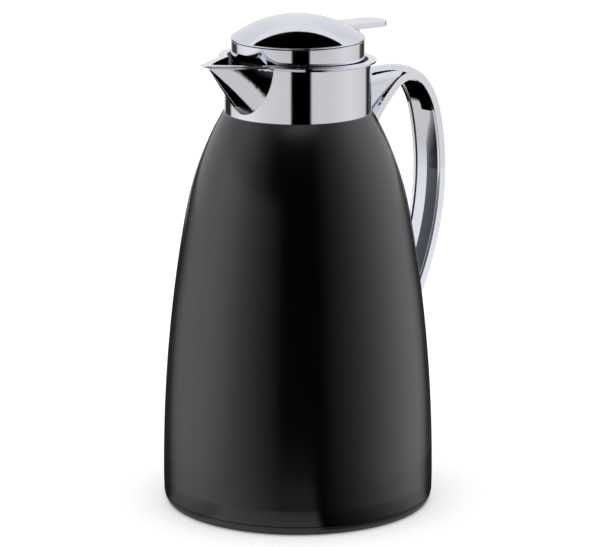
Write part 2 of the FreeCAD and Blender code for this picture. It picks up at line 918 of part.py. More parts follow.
lower_sine = sine(s.handle_lower_turn)
lower_cosine = cosine(s.handle_lower_turn)
calf_x = handle_reach - s.handle_lower_radius * (as_size(1) - lower_cosine)
calf_z = handle_height - s.handle_lower_radius * lower_sine
foot_z = handle_height - s.handle_drop
foot_x = body_side_radius(foot_z)
step_x = foot_x - calf_x
step_z = foot_z - calf_z
foot_radius = (step_x * step_x + step_z * step_z) / ((step_z * lower_sine - step_x * lower_cosine) * 2)
centre_x = calf_x - foot_radius * lower_cosine
centre_z = calf_z + foot_radius * lower_sine
foot_turn = arcsine((centre_z - foot_z) / foot_radius)
overrun_turn = s.handle_overrun / foot_radius * as_size(math.degrees(1))
overrun_sine = sine(overrun_turn)
overrun_cosine = cosine(overrun_turn)
lower_path = [
    (handle_reach, handle_height, -s.handle_lower_radius),
    (calf_x, calf_z, -foot_radius),
    (
        centre_x + (foot_x - centre_x) * overrun_cosine - (centre_z - foot_z) * overrun_sine,
        centre_z - (centre_z - foot_z) * overrun_cosine - (foot_x - centre_x) * overrun_sine,
    ),
]


def sweep_strap(body, name, section_corners, kind="PartDesign::AdditivePipe"):
    """Sweep a level section from the handle's outermost point up to the neck and down to the side."""
    section = draw(body, name + "_section", section_corners, plane="XY_Plane", shift=handle_height)
    for part, corners in (("upper", upper_path), ("lower", lower_path)):
        path = draw(body, "%s_%s_path" % (name, part), corners, closed=False)
        pipe = body.newObject(kind, "%s_%s" % (name, part))
        pipe.Profile = section
        pipe.Spine = path
    return body


strap_inside = handle_reach - s.handle_thickness
strip_half_width = s.handle_half_width - s.handle_lip
strap_body = sweep_strap(
    new_body("handle_strap"),
    "strap",
    [
        (strap_inside, -s.handle_half_width),
        (handle_reach, -s.handle_half_width, sagitta_radius(s.handle_half_width, s.handle_crown)),
        (handle_reach, s.handle_half_width),
        (strap_inside, s.handle_half_width),
    ],
)
strip_edge = strip_half_width - s.handle_strip_clearance
strip_back = strap_inside + s.handle_strip_depth - s.handle_strip_clearance
strip_face = strap_inside + s.handle_strip_ridge
strip_body = sweep_strap(
    new_body("handle_strip_sweep"),
    "strip",
    [
        (strip_face, strip_edge),
        (strap_inside, 0),
        (strip_face, -strip_edge),
        (strip_back, -strip_edge),
        (strip_back, strip_edge),
    ],
)


def hood_section(name, reach, half_width, rise, arch, depth):
    """A section like a round topped window with sides that lean in downwards, square to X."""
    crown = s.neck_height + rise
    base = crown - depth
    foot = half_width - (depth - arch) * tangent(s.hood_lean)
    return draw(
        strap_body,
        name,
        [
            (-foot, base),
            (foot, base),
            (half_width, crown - arch, sagitta_radius(half_width, arch)),
            (-half_width, crown - arch),
        ],
        plane="YZ_Plane",
        shift=reach,
    )


hood_root_reach = s.collar_radius - s.hood_root_inset
hood_back_reach = s.collar_radius + s.hood_back_offset
hood_front_reach = handle_top_reach - s.hood_front_inset
hood_middle_reach = (hood_back_reach + hood_front_reach) * 0.5
hood_nose_reach = handle_top_reach + s.hood_nose_overhang
root_shape = (s.hood_root_half_width, s.hood_root_rise, s.hood_root_arch, s.hood_root_depth)
hood_sections = [
    hood_section("hood_inner_section", hood_root_reach - s.hood_overlap, *root_shape),
    hood_section("hood_root_section", hood_root_reach, *root_shape),
    hood_section(
        "hood_back_section", hood_back_reach,
        s.hood_back_half_width, s.hood_back_rise, s.hood_back_arch, s.hood_back_depth,
    ),
    hood_section(
        "hood_middle_section", hood_middle_reach,
        s.hood_middle_half_width, s.hood_middle_rise, s.hood_middle_arch, s.hood_middle_depth,
    ),
    hood_section(
        "hood_front_section", hood_front_reach,
        s.hood_front_half_width, s.hood_front_rise, s.hood_front_arch, s.hood_front_depth,
    ),
    hood_section(
        "hood_nose_section", hood_nose_reach,
        s.hood_nose_half_width, s.hood_nose_rise, s.hood_nose_arch, s.hood_nose_depth,
    ),
]
hood = strap_body.newObject("PartDesign::AdditiveLoft", "handle_hood")
hood.Profile = hood_sections[0]
hood.Sections = hood_sections[1:]
sweep_strap(
    strap_body,
    "strip_groove",
    [
        (strap_inside - s.handle_strip_ridge, -strip_half_width),
        (strap_inside + s.handle_strip_depth, -strip_half_width),
        (strap_inside + s.handle_strip_depth, strip_half_width),
        (strap_inside - s.handle_strip_ridge, strip_half_width),
    ],
    "PartDesign::SubtractivePipe",
)

body_envelope = turned(
    "body_envelope",
    body_curve(s.handle_fit, s.neck_height) + [(0, s.neck_height), (0, s.body_seam_height)],
)
collar_envelope = core("collar_envelope", s.collar_radius + s.handle_fit, s.neck_height, s.collar_height)
handle_room = fused("handle_room", [body_envelope, collar_envelope])

# Screws that hold the handle: two through the collar, one through the side of the body

screw_seat = leg(collar_inner, s.upper_screw_offset + s.upper_screw_head_radius)
upper_screw_length = s.collar_radius - screw_seat + s.upper_screw_grip
upper_hole = s.upper_screw_radius + s.screw_clearance
handle_holes = []
collar_holes = []
for name, side in (("left", -1), ("right", 1)):
    place = (screw_seat, s.upper_screw_offset * side, s.neck_height + s.upper_screw_rise)
    label = "handle_upper_screw_" + name
    nodes.append(
        screw(
            label, place, level, s.upper_screw_radius, upper_screw_length,
            s.upper_screw_head_radius, s.upper_screw_head_height,
        )
    )
    hole_length = upper_screw_length + s.screw_clearance
    handle_holes.append(rod(label + "_bite", upper_hole, hole_length, *place, level))
    collar_holes.append(rod(label + "_way", upper_hole, hole_length, *place, level))
foot_middle = (s.handle_thickness - s.handle_strip_depth - s.handle_crown) * 0.5
lower_place = (
    foot_x - foot_middle * cosine(foot_turn) - s.lower_screw_depth * sine(foot_turn),
    0,
    foot_z + foot_middle * sine(foot_turn) - s.lower_screw_depth * cosine(foot_turn),
)
lower_hole = s.lower_screw_radius + s.screw_clearance
lower_hole_length = s.lower_screw_length + s.screw_clearance
nodes.append(
    screw(
        "handle_lower_screw", lower_place, foot_turn, s.lower_screw_radius, s.lower_screw_length,
        s.lower_screw_head_radius, s.lower_screw_head_height,
    )
)


def lower_bore(label):
    return rod(label, lower_hole, lower_hole_length, *lower_place, foot_turn)


body_room = turned(
    "body_room",
    body_curve(-(s.body_wall + s.handle_fit), neck_underside) + [(0, neck_underside), (0, s.body_seam_height)],
)
washer_blank = rod("washer_blank", s.washer_radius, s.lower_screw_length, *lower_place, foot_turn)
washer_wedge = boolean("Part::Common", "washer_wedge", washer_blank, body_room)
nodes.append(boolean("Part::Cut", "handle_washer", washer_wedge, lower_bore("washer_bore")))
handle_holes.append(lower_bore("handle_lower_bore"))
nodes.append(boolean("Part::Cut", "body_shell", body_turning, lower_bore("body_bore")))
handle_tools = fused("handle_tools", [handle_room] + handle_holes)
nodes.append(boolean("Part::Cut", "handle_outer_shell", strap_body, handle_tools))
nodes.append(boolean("Part::Cut", "handle_inner_strip", strip_body, handle_room))
collar_tools = fused("collar_tools", [spout_hollow] + collar_holes)
nodes.append(boolean("Part::Cut", "spout_collar", collar_solid, collar_tools))

# Neck ring with three quarter turn grooves

shoulder_bore_radius = mouth_radius + s.shoulder_bore_clearance
neck_ring = turned(
    "neck_ring",
    [
        (pocket_radius, collar_floor_top),
        (neck_ring_radius, collar_floor_top),
        (neck_ring_radius, neck_ring_top - s.neck_ring_flange),
        (collar_inner - s.ring_clearance, neck_ring_top - s.neck_ring_flange),
        (collar_inner - s.ring_clearance, neck_ring_top),
        (neck_bore_radius, neck_ring_top),
        (neck_bore_radius, seat_top),
        (shoulder_bore_radius, seat_top),
        (shoulder_bore_radius, lip_seal_top),
        (pocket_radius, lip_seal_top),
    ],
)
nodes.append(neck_ring)
lug_radius = plug_barrel_radius + s.thread_lug_depth
groove_radius = lug_radius + s.thread_clearance
groove_start = thread_lug_base - s.thread_lead * s.thread_end_turn / full_turn
groove_inside = neck_bore_radius - s.thread_clearance


def turn_about_axis(sketch, angle):
    """Swing an upright sketch about the jug's axis, against the clock when the angle is positive."""
    sketch.AttachmentOffset = FreeCAD.Placement(FreeCAD.Vector(), FreeCAD.Rotation(FreeCAD.Vector(0, 1, 0), 1))
    sketch.setExpression("AttachmentOffset.Rotation.Angle", angle.text)


def helix(body, name, kind, corners, turn, start=None):
    sketch = draw(body, name + "_section", corners)
    if start is not None:
        turn_about_axis(sketch, start)
    feature = body.newObject(kind, name)
    feature.Profile = sketch
    feature.ReferenceAxis = (sketch, ["V_Axis"])
    feature.Mode = "pitch-turns-angle"
    feature.setExpression("Pitch", s.thread_lead.text)
    feature.setExpression("Turns", (turn / full_turn).text)
    return feature


def box_corners(left, right, bottom, top):
    return [(left, bottom), (right, bottom), (right, top), (left, top)]


groove = helix(
    neck_ring,
    "neck_groove",
    "PartDesign::SubtractiveHelix",
    box_corners(
        groove_inside,
        groove_radius,
        groove_start - s.thread_clearance,
        groove_start + s.thread_lug_height + s.thread_clearance,
    ),
    s.thread_turn + s.thread_lug_span + s.thread_end_turn * 2,
    full_turn - s.thread_end_turn,
)
exit_base = thread_lug_base + s.thread_lead * s.thread_turn / full_turn + s.thread_lug_height * 0.5
exit_sketch = draw(
    neck_ring,
    "neck_exit_section",
    box_corners(groove_inside, groove_radius, exit_base, neck_ring_top + s.thread_clearance),
)
turn_about_axis(exit_sketch, s.thread_turn - s.thread_end_turn)
neck_exit = neck_ring.newObject("PartDesign::Groove", "neck_exit")
neck_exit.Profile = exit_sketch
neck_exit.ReferenceAxis = (exit_sketch, ["V_Axis"])
neck_exit.setExpression("Angle", (s.thread_lug_span + s.thread_end_turn * 2).text)
groove_pattern = polar(neck_ring, "neck_groove_pattern", groove, s.thread_count)
groove_pattern.Originals = [groove, neck_exit]

# Stopper: plug with thread lugs, pour bore, valve seat and hinge ears

seal_base = seat_top
ledge_base = seal_base + s.seal_height
ledge_top = ledge_base + s.plug_wall
seal_inner = plug_barrel_radius - s.seal_width
seal_step = seal_inner - s.ring_clearance
tube_radius = s.pour_bore_radius + s.plug_wall
nose_inner = plug_nose_radius - s.plug_wall
barrel_inner = plug_barrel_radius - s.plug_wall
deck_base = deck_top - s.plug_deck
skirt_base = neck_ring_top + s.plug_skirt_gap
skirt_radius_outer = collar_inner - s.plug_skirt_clearance
band_ledge = skirt_base + s.plug_ledge
rim_out = band_radius - s.band_wall - s.band_clearance
rim_in = rim_out - s.plug_rim_wall
rim_top = band_top - s.band_inner_drop
plug = turned(
    "stopper_plug",
    [
        (s.pour_bore_radius, plug_nose_bottom),
        (tube_radius, plug_nose_bottom),
        (tube_radius, deck_base),
        (barrel_inner, deck_base),
        (barrel_inner, ledge_top),
        (nose_inner, ledge_top),
        (nose_inner, plug_nose_bottom),
        (plug_nose_radius, plug_nose_bottom),
        (plug_nose_radius, seal_base + s.ring_clearance),
        (seal_step, seal_base + s.ring_clearance),
        (seal_step, ledge_base),
        (plug_barrel_radius, ledge_base),
        (plug_barrel_radius, skirt_base),
        (skirt_radius_outer, skirt_base),
        (skirt_radius_outer, band_ledge),
        (rim_out, band_ledge),
        (rim_out, rim_top),
        (rim_in, rim_top),
        (rim_in, deck_top),
        (tube_radius, deck_top),
        (tube_radius, valve_seat_height),
        (s.pour_bore_radius, valve_seat_height),
    ],
)
nodes.append(plug)
lug = helix(
    plug,
    "plug_lug",
    "PartDesign::AdditiveHelix",
    box_corners(
        plug_barrel_radius - s.plug_wall * 0.5,
        lug_radius,
        thread_lug_base,
        thread_lug_base + s.thread_lug_height,
    ),
    s.thread_lug_span,
)
polar(plug, "plug_lug_pattern", lug, s.thread_count)


def cut_notch(body, name, base):
    """The opening over the spout, wider at its foot, through the front of a ring."""
    sketch = draw(
        body,
        name + "_outline",
        [
            (-s.notch_half_width, base),
            (s.notch_half_width, base),
            (s.notch_top_half_width, deck_top + s.notch_height),
            (-s.notch_top_half_width, deck_top + s.notch_height),
        ],
        plane="YZ_Plane",
        shift=-tube_radius,
    )
    return extrude(body, name, sketch, band_radius, "PartDesign::Pocket")


cut_notch(plug, "plug_notch", deck_top)
eye_top = hinge_height + s.hinge_eye_radius
eye_bottom = hinge_height - s.hinge_eye_radius
eye_front = hinge_reach + s.hinge_eye_radius
eye_back = hinge_reach - s.hinge_eye_radius
ear_inside = s.knuckle_inside + s.knuckle_width + s.ear_gap
ear_outside = ear_inside + s.ear_width
ear_sketch = draw(
    plug,
    "hinge_ear_outline",
    [
        (rim_in, eye_bottom),
        (hinge_reach, eye_bottom, s.hinge_eye_radius),
        (eye_front, hinge_height, s.hinge_eye_radius),
        (hinge_reach, eye_top),
        (rim_in, eye_top),
    ],
    shift=ear_inside,
)
ear = extrude(plug, "hinge_ear", ear_sketch, s.ear_width)
mirrored(plug, "hinge_ears", [ear])
ear_bore_radius = s.hinge_pin_radius + s.pin_press_clearance
ear_bore = draw_circle(
    plug, "hinge_bore_outline", "XZ_Plane", hinge_reach, hinge_height, ear_bore_radius
)
extrude(plug, "hinge_bore", ear_bore, ear_outside * 3, "PartDesign::Pocket", "Symmetric")
nodes.append(
    turned(
        "stopper_seal",
        box_corners(seal_inner, plug_barrel_radius, seal_base, ledge_base),
    )
)
foam_inner = tube_radius + s.foam_clearance
foam_base = plug_nose_bottom + s.end_cap_spigot
nodes.append(
    turned(
        "stopper_insulation",
        [
            (foam_inner, foam_base),
            (nose_inner - s.foam_clearance, foam_base),
            (nose_inner - s.foam_clearance, ledge_top + s.foam_clearance),
            (barrel_inner - s.foam_clearance, ledge_top + s.foam_clearance),
            (barrel_inner - s.foam_clearance, deck_base - s.foam_clearance),
            (foam_inner, deck_base - s.foam_clearance),
        ],
    )
)
cap_base = plug_nose_bottom - s.end_cap_height
nodes.append(
    turned(
        "stopper_end_cap",
        [
            (s.pour_bore_radius, cap_base),
            (plug_nose_radius, cap_base),
            (plug_nose_radius, plug_nose_bottom),
            (nose_inner - s.foam_clearance, plug_nose_bottom),
            (nose_inner - s.foam_clearance, foam_base),
            (foam_inner, foam_base),
            (foam_inner, plug_nose_bottom),
            (s.pour_bore_radius, plug_nose_bottom),
        ],
    )
)
band_base = band_ledge + s.band_clearance
band = turned(
    "stopper_band",
    box_corners(band_radius - s.band_wall, band_radius, band_base, band_top),
)
cut_notch(band, "band_notch", band_ledge)
slot_half_width = ear_outside + s.slot_clearance
slot_sketch = draw(
    band,
    "band_slot_outline",
    box_corners(-slot_half_width, slot_half_width, deck_top, band_top + s.lid_gap),
    plane="YZ_Plane",
)
extrude(band, "band_slot", slot_sketch, hinge_reach, "PartDesign::Pocket", back=True)
nodes.append(band)
pin_length = ear_outside * 2
hinge_pin = doc.addObject("Part::Cylinder", "hinge_pin")
hinge_pin.setExpression("Radius", s.hinge_pin_radius.text)
hinge_pin.setExpression("Height", pin_length.text)
hinge_pin.Placement.Rotation = FreeCAD.Rotation(FreeCAD.Vector(1, 0, 0), -90)
hinge_pin.setExpression("Placement.Base.x", hinge_reach.text)
hinge_pin.setExpression("Placement.Base.y", (-ear_outside).text)
hinge_pin.setExpression("Placement.Base.z", hinge_height.text)
nodes.append(hinge_pin)

# Lid: dome with thumb lever and knuckles, inner plate, valve seal and two screws

dome_top = dome_base + s.dome_height
dome_round = sagitta_radius(band_radius, s.dome_height - s.dome_edge)
dome_mouth = band_radius - s.dome_wall - s.dome_mouth_clearance
dome_inner_round = sagitta_radius(dome_mouth, s.dome_height - s.dome_wall)
lever_reach = band_radius + s.lever_length
lever_root_reach = band_radius + s.lever_root_offset
lever_blend_reach = band_radius - s.lever_blend_inset
lever_tip_top = dome_base + s.lever_tip_rise
lever_root_top = dome_base + s.lever_root_rise
lever_run = lever_reach - lever_root_reach
lever_drop = lever_root_top - lever_tip_top
lever_slope_length = root(lever_run * lever_run + lever_drop * lever_drop)
blend_centre_reach = lever_root_reach + s.lever_blend_radius * lever_drop / lever_slope_length
blend_centre_height = lever_root_top + s.lever_blend_radius * lever_run / lever_slope_length
blend_height = blend_centre_height - leg(s.lever_blend_radius, blend_centre_reach - lever_blend_reach)


def lever_underside(reach):
    return lever_tip_top - s.lever_thickness + (lever_reach - reach) * lever_drop / lever_run


lid = new_body("lid_cover")
nodes.append(lid)
lever_sketch = draw(
    lid,
    "lever_outline",
    [
        (lever_blend_reach, lever_underside(lever_blend_reach)),
        (lever_reach, lever_tip_top - s.lever_thickness),
        (lever_reach, lever_tip_top),
        (lever_root_reach, lever_root_top, -s.lever_blend_radius),
        (lever_blend_reach, blend_height),
    ],
)
lever = extrude(lid, "lever", lever_sketch, s.lever_half_width * 2, side="Symmetric")
doc.recompute()


def edges_where(feature, test):
    """Names of the edges that pass a test."""
    return ["Edge%d" % number for number, edge in enumerate(feature.Shape.Edges, start=1) if test(edge)]


def is_upright(edge):
    return abs(edge.tangentAt(edge.FirstParameter).z) > 0.9


def is_tip_corner(edge):
    return is_upright(edge) and edge.CenterOfMass.x > lever_root_reach.number


def is_lever_rim(edge):
    reach = max(vertex.X for vertex in edge.Vertexes)
    return not is_upright(edge) and reach > lever_blend_reach.number + s.lever_edge_radius.number


def round_edges(body, name, feature, test, radius):
    fillet = body.newObject("PartDesign::Fillet", name)
    fillet.Base = (feature, edges_where(feature, test))
    fillet.setExpression("Radius", radius.text)
    doc.recompute()
    return fillet


lever_corners = round_edges(lid, "lever_corners", lever, is_tip_corner, s.lever_corner_radius)
round_edges(lid, "lever_rim", lever_corners, is_lever_rim, s.lever_edge_radius)
revolve(
    lid,
    "dome",
    [
        (0, dome_base),
        (band_radius, dome_base),
        (band_radius, dome_base + s.dome_edge, dome_round),
        (0, dome_top),
    ],
)
revolve(
    lid,
    "dome_hollow",
    [
        (0, dome_base - s.lid_gap),
        (dome_mouth, dome_base - s.lid_gap),
        (dome_mouth, dome_base, dome_inner_round),
        (0, dome_top - s.dome_wall),
    ],
    kind="PartDesign::Groove",
)
plate_base = valve_seat_height + s.lid_seal_clearance + s.lid_seal_height
plate_floor_top = plate_base + s.lid_plate_floor
boss_sketch = draw_circle(
    lid, "lid_boss_outline", "XY_Plane", 0, s.lid_screw_offset, s.lid_boss_radius, plate_floor_top
)
boss_reach = s.lid_screw_offset + s.lid_boss_radius
boss_top = dome_top - dome_round + leg(dome_round, boss_reach) - s.dome_wall * 0.5
boss = extrude(lid, "lid_boss", boss_sketch, boss_top - plate_floor_top)
lid_hole_radius = s.lid_screw_radius + s.screw_clearance
boss_hole_sketch = draw_circle(
    lid, "lid_boss_hole_outline", "XY_Plane", 0, s.lid_screw_offset, lid_hole_radius, plate_floor_top
)
boss_hole = extrude(lid, "lid_boss_hole", boss_hole_sketch, s.lid_screw_length, "PartDesign::Pocket", back=True)
knuckle_top = lever_underside(hinge_reach) + s.lever_thickness * 0.5
knuckle_sketch = draw(
    lid,
    "lid_knuckle_outline",
    [
        (eye_back, hinge_height, s.hinge_eye_radius),
        (hinge_reach, eye_bottom, s.hinge_eye_radius),
        (eye_front, hinge_height),
        (eye_front, knuckle_top),
        (eye_back, knuckle_top),
    ],
    shift=s.knuckle_inside,
)
knuckle = extrude(lid, "lid_knuckle", knuckle_sketch, s.knuckle_width)
mirrored(lid, "lid_pair", [boss, boss_hole, knuckle])
knuckle_bore = draw_circle(
    lid,
    "lid_knuckle_bore_outline",
    "XZ_Plane",
    hinge_reach,
    hinge_height,
    s.hinge_pin_radius + s.hinge_pin_clearance,
)
extrude(lid, "lid_knuckle_bore", knuckle_bore, ear_inside * 2, "PartDesign::Pocket", "Symmetric")
lid_plate_radius = rim_in - s.lid_plate_clearance
plate = turned(
    "lid_inner_plate",
    [
        (0, plate_base),
        (lid_plate_radius, plate_base),
        (lid_plate_radius, plate_base + s.lid_plate_height),
        (lid_plate_radius - s.lid_plate_wall, plate_base + s.lid_plate_height),
        (lid_plate_radius - s.lid_plate_wall, plate_floor_top),
        (0, plate_floor_top),
    ],
)
plate_hole_sketch = draw_circle(
    plate, "lid_plate_hole_outline", "XY_Plane", 0, s.lid_screw_offset, lid_hole_radius, plate_base
)
plate_hole = extrude(
    plate, "lid_plate_hole", plate_hole_sketch, s.lid_plate_floor, "PartDesign::Pocket", back=True
)
mirrored(plate, "lid_plate_holes", [plate_hole])
nodes.append(plate)
seal_face = valve_seat_height + s.lid_seal_clearance
lid_seal_radius = tube_radius + s.lid_seal_overlap
nodes.append(turned("lid_seal", box_corners(0, lid_seal_radius, seal_face, plate_base)))
for name, side in (("left", -1), ("right", 1)):
    nodes.append(
        screw(
            "lid_screw_" + name, (as_size(0), s.lid_screw_offset * side, plate_base), upright,
            s.lid_screw_radius, s.lid_screw_length, s.lid_screw_head_radius, s.lid_screw_head_height,
        )
    )

# Torsion spring round the hinge pin, with one leg against the stopper and one under the lever


def arc_edge(start, direction, end):
    """The arc that leaves a point along a direction and ends at another point."""
    chord = end - start
    across = (chord - direction * chord.dot(direction)).normalize()
    radius = chord.dot(chord) / (2 * chord.dot(across))
    centre = start + across * radius
    middle = centre + ((start + end) * 0.5 - centre).normalize() * radius
    return Part.Arc(start, middle, end).toShape()


def biarc(start, start_direction, end, end_direction):
    """Two tangent arcs that join two points along given directions."""
    chord = end - start
    turn = start_direction + end_direction
    spread = 2 * (1 - start_direction.dot(end_direction))
    reach = (math.sqrt(chord.dot(turn) ** 2 + spread * chord.dot(chord)) - chord.dot(turn)) / spread
    first = start + start_direction * reach
    second = end - end_direction * reach
    joint = (first + second) * 0.5
    joint_direction = (second - first).normalize()
    return [arc_edge(start, start_direction, joint), arc_edge(joint, joint_direction, end)]


def spring_point(quarter):
    """A point of the coil and the wire's direction there, counted in quarter turns from its foot."""
    angle = math.radians(90.0 * quarter - 90.0)
    coil = s.spring_coil_radius.number
    pitch = s.spring_pitch.number
    half_length = pitch * (s.spring_turns.number + 0.25) / 2
    point = FreeCAD.Vector(
        hinge_reach.number + coil * math.cos(angle),
        pitch * quarter / 4 - half_length,
        hinge_height.number + coil * math.sin(angle),
    )
    direction = FreeCAD.Vector(-coil * math.sin(angle), pitch / (2 * math.pi), coil * math.cos(angle))
    return point, direction.normalize()


wire_radius = s.spring_wire_radius.number
quarters = int(s.spring_turns.number) * 4 + 1
foot, foot_direction = spring_point(0)
head, head_direction = spring_point(quarters)
leg_room = s.spring_leg_clearance.number + wire_radius
foot_leg = (foot.x - rim_out.number - leg_room) / foot_direction.x
head_leg = (lever_underside(eye_front).number - leg_room - head.z) / head_direction.z
foot_end = foot - foot_direction * foot_leg
head_end = head + head_direction * head_leg
spring_edges = [Part.LineSegment(foot_end, foot).toShape()]
for quarter in range(quarters):
    spring_edges += biarc(*spring_point(quarter), *spring_point(quarter + 1))
spring_edges.append(Part.LineSegment(head, head_end).toShape())
spring_path = Part.Wire(spring_edges)
spring_section = Part.Wire(Part.Circle(foot_end, foot_direction, wire_radius).toShape())
spring_sweep = Part.BRepOffsetAPI.MakePipeShell(spring_path)
spring_sweep.add(spring_section)
spring_sweep.build()
spring_sweep.makeSolid()
hinge_spring = doc.addObject("Part::Feature", "hinge_spring")
hinge_spring.Shape = spring_sweep.shape()
nodes.append(hinge_spring)
steps_per_turn = 24
coil_points = [spring_point(4.0 * step / steps_per_turn)[0] for step in range(quarters * steps_per_turn // 4)]
spring_gap = min(
    one.distanceToPoint(other) - 2 * wire_radius
    for place, one in enumerate(coil_points)
    for other in coil_points[place + steps_per_turn // 2:]
)
print("hinge spring, least gap between turns: %.2f mm" % spring_gap)
spring_volume = math.pi * wire_radius ** 2 * spring_path.Length
print("hinge spring, volume against section times length: %.4f" % (hinge_spring.Shape.Volume / spring_volume))

doc.recompute()
for item in doc.Objects:
    if "Invalid" in item.State or "Error" in item.State:
        raise RuntimeError("%s did not build: %s" % (item.Label, item.State))
for node in nodes:
    if node.Shape.isNull() or not node.Shape.isValid():
        raise RuntimeError("%s has no valid shape" % node.Label)
os.makedirs("parts", exist_ok=True)
for node in nodes:
    node.Shape.exportStep("parts/%s.step" % node.Label)
print("%d nodes written" % len(nodes))
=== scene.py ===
import json
import math

import bpy
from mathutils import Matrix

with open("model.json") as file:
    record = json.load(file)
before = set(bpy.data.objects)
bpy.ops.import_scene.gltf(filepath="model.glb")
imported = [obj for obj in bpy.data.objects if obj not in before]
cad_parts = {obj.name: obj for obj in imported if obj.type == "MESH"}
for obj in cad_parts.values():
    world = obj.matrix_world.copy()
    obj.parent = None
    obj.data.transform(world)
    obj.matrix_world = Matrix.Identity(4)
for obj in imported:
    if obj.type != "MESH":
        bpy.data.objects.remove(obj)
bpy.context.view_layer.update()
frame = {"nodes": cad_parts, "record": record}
nodes = frame["nodes"]
scene = bpy.context.scene
scene.view_settings.view_transform = "Standard"
bpy.ops.object.select_all(action="DESELECT")
print("frame loaded:", len(nodes), "nodes")

# camera fitted to the photograph, a long lens from the spout's side
cameraSetup = {
    "place": (-1.1047, -1.2140, 0.52662),
    "pitch": 13.9314,
    "heading": -42.34,
    "lens": 196.94,
    "sensor": 36.0,
    "farthest": 50,
}


def addCamera():
    tilt = math.radians(90 - cameraSetup["pitch"])
    heading = math.radians(cameraSetup["heading"])
    bpy.ops.object.camera_add(location=cameraSetup["place"], rotation=(tilt, 0, heading))
    camera = bpy.context.object
    camera.name = "photoCamera"
    camera.data.lens = cameraSetup["lens"]
    camera.data.sensor_width = cameraSetup["sensor"]
    camera.data.sensor_fit = "HORIZONTAL"
    camera.data.clip_end = cameraSetup["farthest"]
    scene.camera = camera


addCamera()
print("camera placed")

# shared effects, each built once and placed in the finishes with its own values


def newGroup(name, inputs, outputs):
    group = bpy.data.node_groups.new(name, "ShaderNodeTree")
    for label, kind in inputs:
        group.interface.new_socket(name=label, in_out="INPUT", socket_type=kind)
    for label, kind in outputs:
        group.interface.new_socket(name=label, in_out="OUTPUT", socket_type=kind)
    start = group.nodes.new("NodeGroupInput")
    end = group.nodes.new("NodeGroupOutput")
    return group, start, end


def addNoise(group, start, scale, detail):
    noise = group.nodes.new("ShaderNodeTexNoise")
    noise.inputs["Detail"].default_value = detail
    group.links.new(start.outputs["Vector"], noise.inputs["Vector"])
    group.links.new(start.outputs[scale], noise.inputs["Scale"])
    return noise


def addColourMix(tree):
    mix = tree.nodes.new("ShaderNodeMix")
    mix.data_type = "RGBA"
    first, second = [socket for socket in mix.inputs if socket.type == "RGBA"]
    result = [socket for socket in mix.outputs if socket.type == "RGBA"][0]
    return mix.inputs["Factor"], first, second, result


# two sizes of speckle, the small one riding on the large one
grainNoise = {
    "coarseDetail": 2.0,
    "fineDetail": 3.0,
}


def makeFineGrain():
    group, start, end = newGroup(
        "fineGrain",
        [("Vector", "NodeSocketVector"), ("Coarse", "NodeSocketFloat"), ("Fine", "NodeSocketFloat"),
         ("Blend", "NodeSocketFloat")],
        [("Height", "NodeSocketFloat")],
    )
    coarse = addNoise(group, start, "Coarse", grainNoise["coarseDetail"])
    fine = addNoise(group, start, "Fine", grainNoise["fineDetail"])
    mix = group.nodes.new("ShaderNodeMix")
    group.links.new(start.outputs["Blend"], mix.inputs["Factor"])
    group.links.new(coarse.outputs["Fac"], mix.inputs["A"])
    group.links.new(fine.outputs["Fac"], mix.inputs["B"])
    group.links.new(mix.outputs["Result"], end.inputs["Height"])
    return group


# gloss that drifts over the surface, as after wiping
sheenNoise = {
    "detail": 4.0,
    "distortion": 0.6,
    "low": 0.3,
    "high": 0.7,
}


def makeHandledSheen():
    group, start, end = newGroup(
        "handledSheen",
        [("Vector", "NodeSocketVector"), ("Scale", "NodeSocketFloat"), ("Glossiest", "NodeSocketFloat"),
         ("Dullest", "NodeSocketFloat")],
        [("Roughness", "NodeSocketFloat")],
    )
    drift = addNoise(group, start, "Scale", sheenNoise["detail"])
    drift.inputs["Distortion"].default_value = sheenNoise["distortion"]
    spread = group.nodes.new("ShaderNodeMapRange")
    spread.inputs["From Min"].default_value = sheenNoise["low"]
    spread.inputs["From Max"].default_value = sheenNoise["high"]
    group.links.new(drift.outputs["Fac"], spread.inputs["Value"])
    group.links.new(start.outputs["Glossiest"], spread.inputs["To Min"])
    group.links.new(start.outputs["Dullest"], spread.inputs["To Max"])
    group.links.new(spread.outputs["Result"], end.inputs["Roughness"])
    return group


# a slow change between two close shades
colourNoise = {
    "detail": 3.0,
}


def makeColourDrift():
    group, start, end = newGroup(
        "colourDrift",
        [("Vector", "NodeSocketVector"), ("Scale", "NodeSocketFloat"), ("Shade", "NodeSocketColor"),
         ("Other Shade", "NodeSocketColor")],
        [("Color", "NodeSocketColor")],
    )
    drift = addNoise(group, start, "Scale", colourNoise["detail"])
    factor, first, second, result = addColourMix(group)
    group.links.new(drift.outputs["Fac"], factor)
    group.links.new(start.outputs["Shade"], first)
    group.links.new(start.outputs["Other Shade"], second)
    group.links.new(result, end.inputs["Color"])
    return group


fineGrain = makeFineGrain()
handledSheen = makeHandledSheen()
colourDrift = makeColourDrift()
print("shared effects built")

# steps that the finishes share; sizes of noise are in waves per metre


def newFinish(name):
    finish = bpy.data.materials.new(name)
    finish.use_nodes = True
    tree = finish.node_tree
    shader = tree.nodes["Principled BSDF"]
    where = tree.nodes.new("ShaderNodeTexCoord")
    return finish, tree, shader, where.outputs["Object"]


def placeGroup(tree, group, vector, values):
    node = tree.nodes.new("ShaderNodeGroup")
    node.node_tree = group
    tree.links.new(vector, node.inputs["Vector"])
    for label, value in values.items():
        node.inputs[label].default_value = value
    return node


def addColour(tree, shader, where, look):
    colour = placeGroup(tree, colourDrift, where, {
        "Scale": look["driftSize"], "Shade": look["shade"], "Other Shade": look["otherShade"]})
    tree.links.new(colour.outputs["Color"], shader.inputs["Base Color"])


